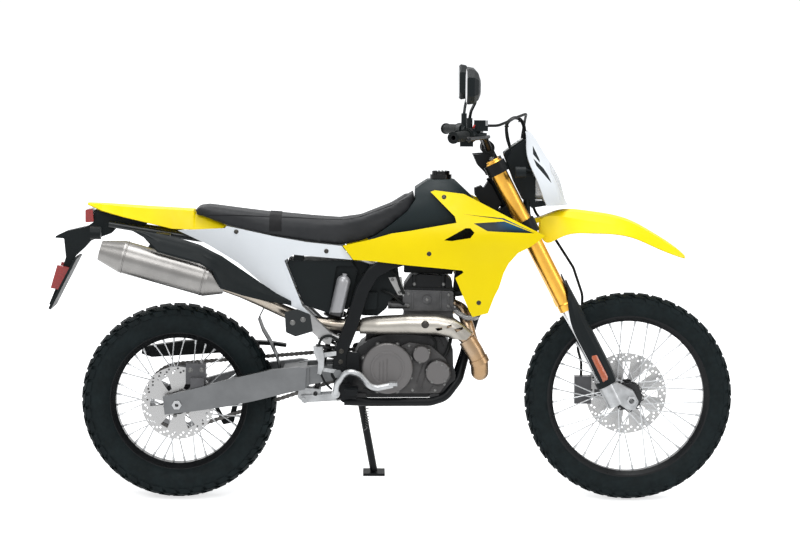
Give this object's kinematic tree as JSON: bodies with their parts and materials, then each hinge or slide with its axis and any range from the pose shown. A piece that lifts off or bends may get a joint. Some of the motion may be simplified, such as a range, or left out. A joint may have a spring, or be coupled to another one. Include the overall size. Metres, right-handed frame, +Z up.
{
  "type": "dual sport motorcycle",
  "caption": "Dual sport motorcycle leaning on its side stand, with turning wheels, steering fork and folding side stand.",
  "frame": {"origin": "centre of the whole box on the floor, with the machine leaning on its side stand", "axes": "+X towards the front wheel, +Y to the rider's left, +Z up"},
  "size_m": [2.2612, 0.879, 1.4822],
  "materials": {
    "tyre": "black block-tread rubber",
    "rim_black": "satin black anodised rim",
    "hub_black": "hub and stainless spokes",
    "disc_steel": "ground steel",
    "axle_steel": "turned steel",
    "fork_gold": "gold anodised aluminium tube",
    "cast_silver": "cast aluminium",
    "black_plastic": "moulded black plastic",
    "frame_black": "satin black painted steel",
    "bar_black": "satin black anodised",
    "grip_rubber": "ribbed rubber",
    "yellow_plastic": "bright yellow moulded plastic",
    "white_plastic": "white moulded plastic",
    "lamp_glass": "clear lamp lens",
    "caliper_grey": "dark grey anodised",
    "hose_black": "black rubber hose",
    "frame_silver": "silver painted tube",
    "swing_silver": "brushed aluminium",
    "chain_steel": "oiled roller chain",
    "engine_grey": "dark grey painted casting",
    "engine_black": "black painted cover",
    "radiator_grey": "finned radiator core",
    "header_bronze": "heat-tinted stainless tube",
    "shield_steel": "satin stainless sheet",
    "silencer_steel": "brushed stainless can",
    "seat_vinyl": "ribbed black vinyl",
    "red_lens": "red lamp lens"
  },
  "bodies": {
    "chassis": {"airbox": "black_plastic", "cam_cover": "engine_black", "chain": "chain_steel", "chain_guards": "black_plastic", "crankcase": "engine_grey", "cylinder_head": "engine_grey", "engine_covers": "engine_grey", "exhaust_pipe": "header_bronze", "foot_controls": "cast_silver", "footpegs": "frame_black", "fuel_cap": "black_plastic", "fuel_tank": "black_plastic", "header_shield": "shield_steel", "linkage": "cast_silver", "main_frame": "frame_black", "radiators": "radiator_grey", "rear_axle": "axle_steel", "rear_caliper": "caliper_grey", "rear_fender": "yellow_plastic", "rear_indicators": "black_plastic", "rear_lights": "red_lens", "rear_shock": "caliper_grey", "seat": "seat_vinyl", "shrouds": "yellow_plastic", "side_panels": "white_plastic", "silencer": "silencer_steel", "silencer_shield": "black_plastic", "subframe": "frame_silver", "swing_arm": "swing_silver", "tail_bracket": "black_plastic"},
    "steering": {"fork_tubes": "fork_gold", "fork_stanchions": "axle_steel", "fork_feet": "cast_silver", "fork_guards": "black_plastic", "triple_clamps": "frame_black", "handlebar": "bar_black", "grips": "grip_rubber", "bar_controls": "black_plastic", "bar_levers": "bar_black", "mirrors": "black_plastic", "front_fender": "yellow_plastic", "headlight_cowl": "white_plastic", "headlight": "lamp_glass", "instrument_pod": "black_plastic", "front_axle": "axle_steel", "front_caliper": "caliper_grey", "brake_hose": "hose_black", "control_cables": "hose_black", "front_indicators": "black_plastic"},
    "front_wheel": {"front_tyre": "tyre", "front_rim": "rim_black", "front_hub": "hub_black", "front_disc": "disc_steel"},
    "rear_wheel": {"rear_tyre": "tyre", "rear_rim": "rim_black", "rear_hub": "hub_black", "rear_disc": "disc_steel", "rear_sprocket": "disc_steel"},
    "side_stand": {"side_stand": "frame_black"}
  },
  "joints": [
    {"name": "steering_turn", "type": "hinge", "parent": "chassis", "child": "steering", "pos_m": [0.37467, -0.06633, 0.9856], "axis": [-0.4617, 0.154, 0.8735], "range_deg": [-43, 43]},
    {"name": "front_wheel_spin", "type": "hinge", "parent": "steering", "child": "front_wheel", "pos_m": [0.78654, -0.17984, 0.34186], "axis": [0, 0.9848, -0.1736], "continuous": true},
    {"name": "rear_wheel_spin", "type": "hinge", "parent": "chassis", "child": "rear_wheel", "pos_m": [-0.70346, -0.18366, 0.32019], "axis": [0, 0.9848, -0.1736], "continuous": true},
    {"name": "side_stand_fold", "type": "hinge", "parent": "chassis", "child": "side_stand", "pos_m": [-0.10346, -0.05395, 0.28412], "axis": [0.1046, 0.974, 0.201], "range_deg": [0, 95]}
  ]
}
